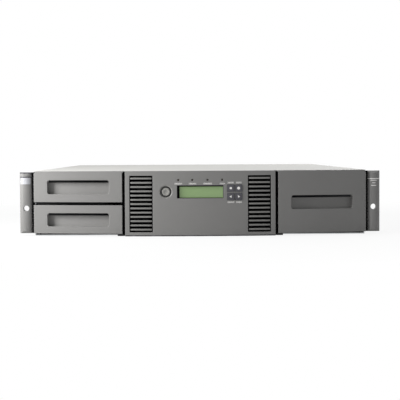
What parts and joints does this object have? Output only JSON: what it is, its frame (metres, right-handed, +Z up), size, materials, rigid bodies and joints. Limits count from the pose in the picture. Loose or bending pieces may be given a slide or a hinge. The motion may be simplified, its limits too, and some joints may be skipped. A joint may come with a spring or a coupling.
{
  "type": "rack-mount tape library",
  "caption": "Two-unit rack-mount tape library: steel cabinet, curved front with louvred vents and a green display, pull-out magazines, mail slot and cartridge robot.",
  "frame": {"origin": "under the middle of the cabinet, on the surface it stands on", "axes": "+X to the right seen from the front, the front faces -Y, +Y to the rear, +Z up"},
  "size_m": [0.4826, 0.752, 0.086],
  "materials": {
    "graphite_plastic": "fine-grained moulded plastic",
    "key_plastic": "smooth moulded plastic",
    "magazine_plastic": "moulded plastic",
    "black_plastic": "moulded plastic",
    "cover_paint": "light grey powder coat",
    "black_paint": "black powder coat",
    "zinc_steel": "zinc-plated sheet steel",
    "bright_steel": "ground steel",
    "cast_alloy": "bare alloy",
    "brass_gear": "machined brass",
    "circuit_board": "solder mask",
    "display_glass": "lit green display",
    "clear_lens": "clear plastic"
  },
  "bodies": {
    "chassis": {"base_tray": "zinc_steel", "top_cover": "cover_paint", "rear_panel": "zinc_steel", "front_plate": "black_paint", "centre_bezel": "graphite_plastic", "left_vent_grille": "graphite_plastic", "right_vent_grille": "graphite_plastic", "display_module": "circuit_board", "display_window": "display_glass", "indicator_lenses": "clear_lens", "left_ear_trim": "graphite_plastic", "right_ear_trim": "graphite_plastic", "left_rack_ear": "zinc_steel", "right_rack_ear": "zinc_steel", "left_runner": "black_plastic", "right_runner": "black_plastic", "robot_rack": "black_plastic", "robot_rail": "bright_steel", "lower_tape_drive": "cast_alloy", "upper_tape_drive": "cast_alloy", "lower_drive_sled": "zinc_steel", "upper_drive_sled": "zinc_steel", "power_supply": "zinc_steel", "power_inlet": "black_plastic", "controller_plate": "zinc_steel", "controller_board": "circuit_board", "cover_screws": "bright_steel", "ear_screws": "bright_steel"},
    "left_magazine": {"left_magazine_face": "graphite_plastic", "left_tier_1": "magazine_plastic", "left_tier_2": "magazine_plastic", "left_tier_3": "magazine_plastic", "left_magazine_lid": "magazine_plastic", "left_strike_plate": "zinc_steel"},
    "mail_slot": {"mail_slot_face": "graphite_plastic", "mail_slot_tray": "magazine_plastic"},
    "right_magazine": {"right_magazine_face": "graphite_plastic", "right_tier_1": "magazine_plastic", "right_tier_2": "magazine_plastic", "right_tier_3": "magazine_plastic", "right_magazine_lid": "magazine_plastic", "right_strike_plate": "zinc_steel"},
    "left_latch_lever": {"left_latch": "zinc_steel"},
    "right_latch_lever": {"right_latch": "zinc_steel"},
    "robot_carriage": {"carriage": "cast_alloy", "carriage_motor": "bright_steel"},
    "travel_pinion": {"drive_pinion": "brass_gear"},
    "robot_turntable": {"turntable": "zinc_steel", "lift_frame": "zinc_steel"},
    "lift_spindle": {"lift_screw": "bright_steel"},
    "robot_cage": {"lift_cage": "cast_alloy"},
    "robot_gripper": {"gripper": "black_plastic"},
    "left_gripper_finger": {"left_finger": "bright_steel"},
    "right_gripper_finger": {"right_finger": "bright_steel"},
    "power_key": {"power_button": "key_plastic"},
    "key_1": {"menu_key_1": "key_plastic"},
    "key_2": {"menu_key_2": "key_plastic"},
    "key_3": {"menu_key_3": "key_plastic"},
    "key_4": {"menu_key_4": "key_plastic"},
    "fan": {"fan_rotor": "black_plastic"}
  },
  "joints": [
    {"name": "left_magazine_slide", "type": "slide", "parent": "chassis", "child": "left_magazine", "axis": [0, -1, 0], "range_m": [0, 0.44]},
    {"name": "mail_slot_slide", "type": "slide", "parent": "left_magazine", "child": "mail_slot", "axis": [0, -1, 0], "range_m": [0, 0.112]},
    {"name": "right_magazine_slide", "type": "slide", "parent": "chassis", "child": "right_magazine", "axis": [0, -1, 0], "range_m": [0, 0.44]},
    {"name": "left_latch_turn", "type": "hinge", "parent": "chassis", "child": "left_latch_lever", "pos_m": [-0.173, 0.15175, 0.0107], "axis": [1, 0, 0], "range_deg": [0, 4.5], "stiffness_Nm_per_rad": 0.2, "springref_deg": -1.15},
    {"name": "right_latch_turn", "type": "hinge", "parent": "chassis", "child": "right_latch_lever", "pos_m": [0.173, 0.15175, 0.0107], "axis": [1, 0, 0], "range_deg": [0, 4.5], "stiffness_Nm_per_rad": 0.2, "springref_deg": -1.15},
    {"name": "robot_travel", "type": "slide", "parent": "chassis", "child": "robot_carriage", "axis": [0, 1, 0], "range_m": [-0.3315, 0]},
    {"name": "pinion_turn", "type": "hinge", "parent": "robot_carriage", "child": "travel_pinion", "pos_m": [0.0845, 0.124, 0.003], "axis": [0, 0, 1], "range_deg": [0, 1583]},
    {"name": "robot_turn", "type": "hinge", "parent": "robot_carriage", "child": "robot_turntable", "pos_m": [0, 0.048, 0.0042], "axis": [0, 0, 1], "range_deg": [-90, 90]},
    {"name": "robot_lift", "type": "slide", "parent": "robot_turntable", "child": "robot_cage", "axis": [0, 0, 1], "range_m": [0, 0.0492]},
    {"name": "lift_screw_turn", "type": "hinge", "parent": "robot_turntable", "child": "lift_spindle", "pos_m": [-0.0614, 0.048, 0.04], "axis": [0, 0, 1], "range_deg": [0, 3543]},
    {"name": "gripper_slide", "type": "slide", "parent": "robot_cage", "child": "robot_gripper", "axis": [0, 1, 0], "range_m": [0, 0.13]},
    {"name": "right_finger_close", "type": "slide", "parent": "robot_gripper", "child": "right_gripper_finger", "axis": [-1, 0, 0], "range_m": [0, 0.001]},
    {"name": "left_finger_close", "type": "slide", "parent": "robot_gripper", "child": "left_gripper_finger", "axis": [1, 0, 0], "range_m": [0, 0.001]},
    {"name": "power_button_press", "type": "slide", "parent": "chassis", "child": "power_key", "axis": [0, 1, 0], "range_m": [0, 0.001], "stiffness_N_per_m": 300},
    {"name": "menu_key_1_press", "type": "slide", "parent": "chassis", "child": "key_1", "axis": [0, 1, 0], "range_m": [0, 0.0008], "stiffness_N_per_m": 300},
    {"name": "menu_key_2_press", "type": "slide", "parent": "chassis", "child": "key_2", "axis": [0, 1, 0], "range_m": [0, 0.0008], "stiffness_N_per_m": 300},
    {"name": "menu_key_3_press", "type": "slide", "parent": "chassis", "child": "key_3", "axis": [0, 1, 0], "range_m": [0, 0.0008], "stiffness_N_per_m": 300},
    {"name": "menu_key_4_press", "type": "slide", "parent": "chassis", "child": "key_4", "axis": [0, 1, 0], "range_m": [0, 0.0008], "stiffness_N_per_m": 300},
    {"name": "fan_spin", "type": "hinge", "parent": "chassis", "child": "fan", "pos_m": [-0.188, 0.354, 0.024], "axis": [0, 1, 0], "continuous": true}
  ],
  "couplings": [
    {"joint": "pinion_turn", "follows": "robot_travel", "rad_per_m": -83.333},
    {"joint": "lift_screw_turn", "follows": "robot_lift", "rad_per_m": 1256.6},
    {"joint": "left_finger_close", "follows": "right_finger_close", "ratio": 1}
  ]
}
